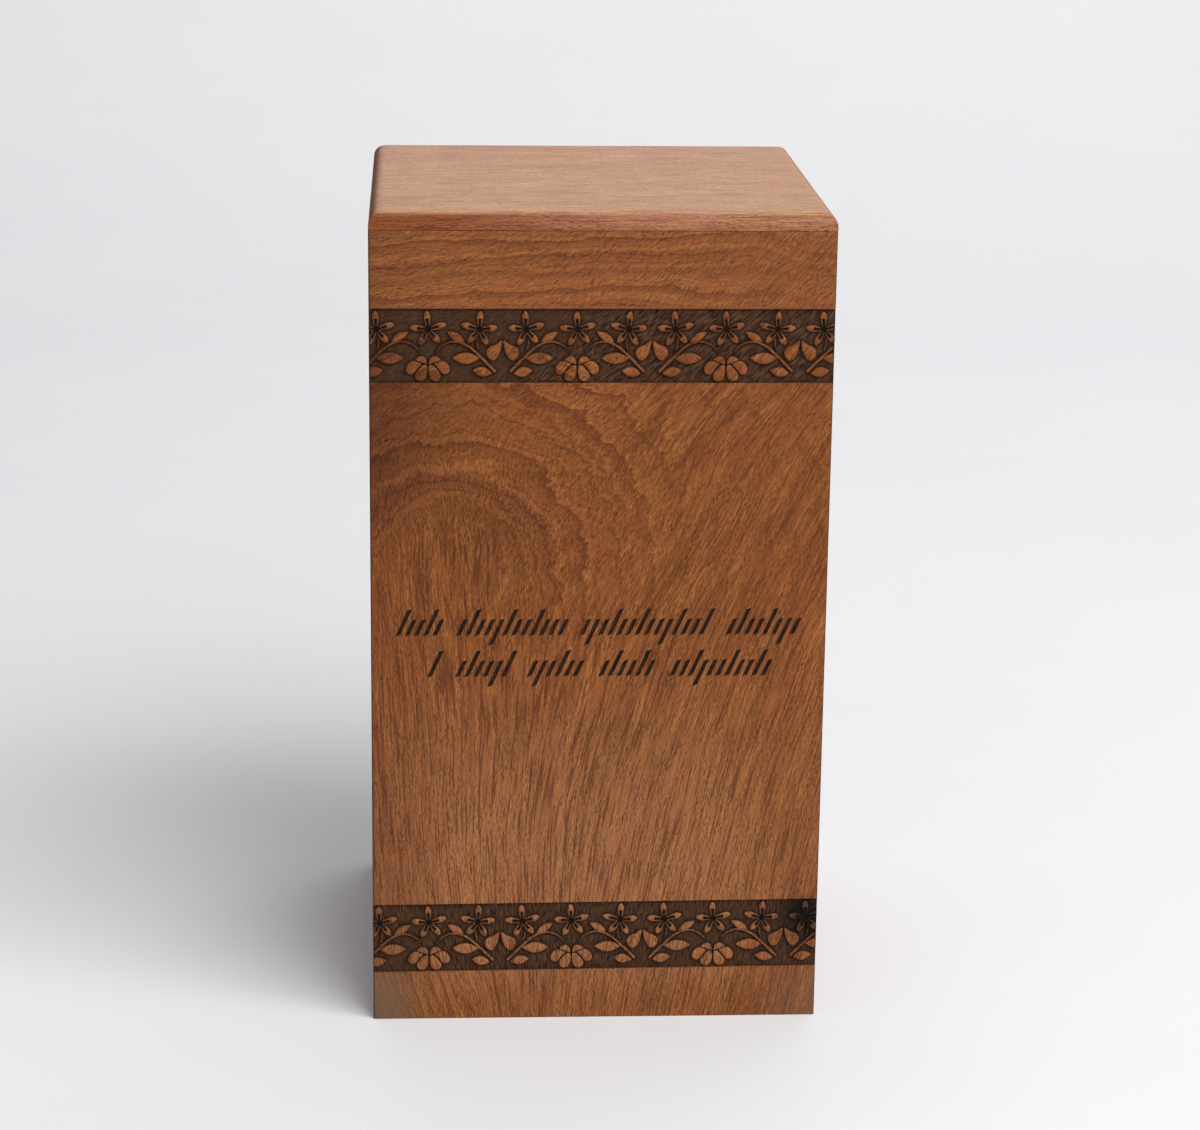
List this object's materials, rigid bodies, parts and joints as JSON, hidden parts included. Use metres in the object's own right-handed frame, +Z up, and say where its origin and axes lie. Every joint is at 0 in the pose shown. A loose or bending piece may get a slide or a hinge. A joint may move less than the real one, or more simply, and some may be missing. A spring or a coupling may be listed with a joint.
{
  "type": "cremation urn box",
  "caption": "Square upright wooden urn box with a stepped lift-off lid and a carved front: two sunk bands of flowers and leaves with rows of plain strokes between them.",
  "frame": {"origin": "centre of the box's plan, on its underside", "axes": "+Z up; the carved front faces -Y, and +X is to the right as one looks at the front"},
  "size_m": [0.1588, 0.1588, 0.2921],
  "materials": {
    "lid_wood": "satin lacquer",
    "carved_wood": "satin lacquer, carved ground scorched dark brown",
    "wall_wood": "satin lacquer",
    "base_wood": "matt, thinly lacquered"
  },
  "bodies": {
    "root": {"lid": "lid_wood", "front_board": "carved_wood", "back_board": "wall_wood", "left_board": "wall_wood", "right_board": "wall_wood", "base_board": "base_wood"}
  },
  "joints": []
}
